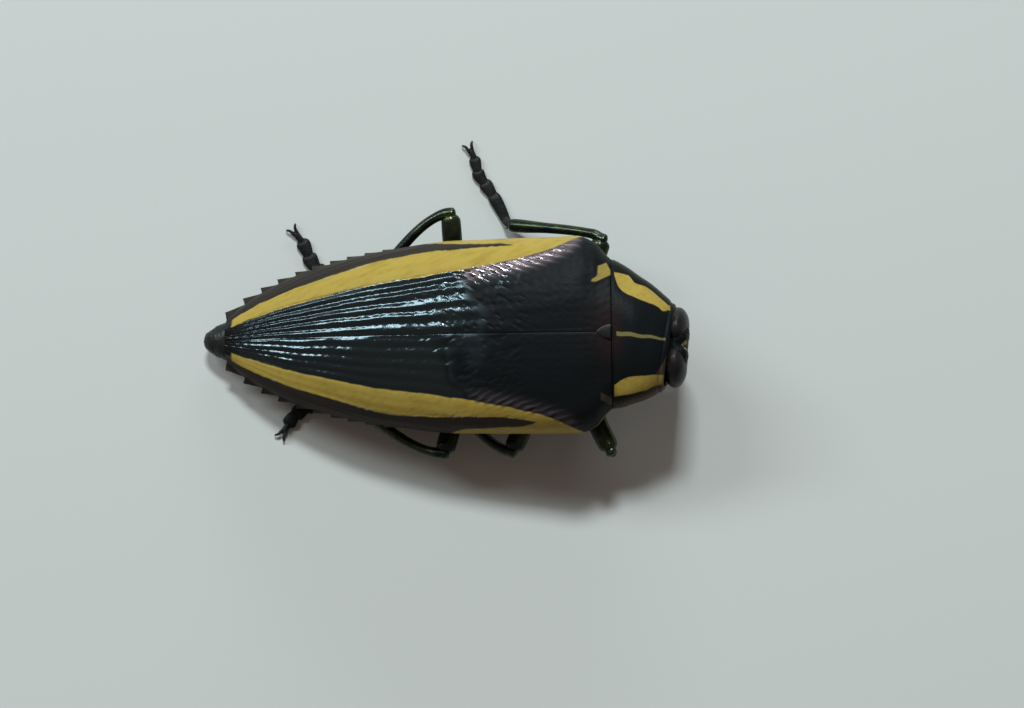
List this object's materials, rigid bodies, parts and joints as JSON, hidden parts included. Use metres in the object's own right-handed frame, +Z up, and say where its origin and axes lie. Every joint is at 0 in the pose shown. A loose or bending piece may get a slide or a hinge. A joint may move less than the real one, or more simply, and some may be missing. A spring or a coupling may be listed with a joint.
{
  "type": "jewel beetle",
  "caption": "Striped jewel beetle standing on all its feet: domed wing cases with saw-toothed tips, tapering collar, large-eyed head, lobed feet and folded feelers.",
  "frame": {"origin": "centre of the bounding box at the level of the soles", "axes": "+X forward through the head, +Y to the beetle's left, +Z up"},
  "size_m": [0.0302, 0.0202, 0.0084],
  "materials": {
    "wing_case": "glossy black horn with raised ribs, a yellow side band, and violet and blue-green tints",
    "body_plate": "finely pitted glossy black horn with yellow patches on the collar",
    "limb": "smooth dark green-black horn with a metallic green sheen",
    "foot": "dull black horn with short hairs under the lobes",
    "eye": "smooth grey-brown compound eye with fine facets"
  },
  "bodies": {
    "root": {"abdomen_1": "body_plate", "abdomen_2": "body_plate", "abdomen_3": "body_plate", "abdomen_4": "body_plate", "abdomen_5": "body_plate", "abdomen_tip": "body_plate", "antenna_left": "body_plate", "antenna_right": "body_plate", "elytron_left": "wing_case", "elytron_right": "wing_case", "eye_left": "eye", "eye_right": "eye", "foreleg_left_coxa": "limb", "foreleg_left_femur": "limb", "foreleg_left_tarsus": "foot", "foreleg_left_tibia": "limb", "foreleg_right_coxa": "limb", "foreleg_right_femur": "limb", "foreleg_right_tarsus": "foot", "foreleg_right_tibia": "limb", "head": "body_plate", "hindleg_left_coxa": "limb", "hindleg_left_femur": "limb", "hindleg_left_tarsus": "foot", "hindleg_left_tibia": "limb", "hindleg_right_coxa": "limb", "hindleg_right_femur": "limb", "hindleg_right_tarsus": "foot", "hindleg_right_tibia": "limb", "mandible_left": "body_plate", "mandible_right": "body_plate", "midleg_left_coxa": "limb", "midleg_left_femur": "limb", "midleg_left_tarsus": "foot", "midleg_left_tibia": "limb", "midleg_right_coxa": "limb", "midleg_right_femur": "limb", "midleg_right_tarsus": "foot", "midleg_right_tibia": "limb", "prothorax": "body_plate", "pterothorax": "body_plate", "scutellum": "wing_case"}
  },
  "joints": []
}
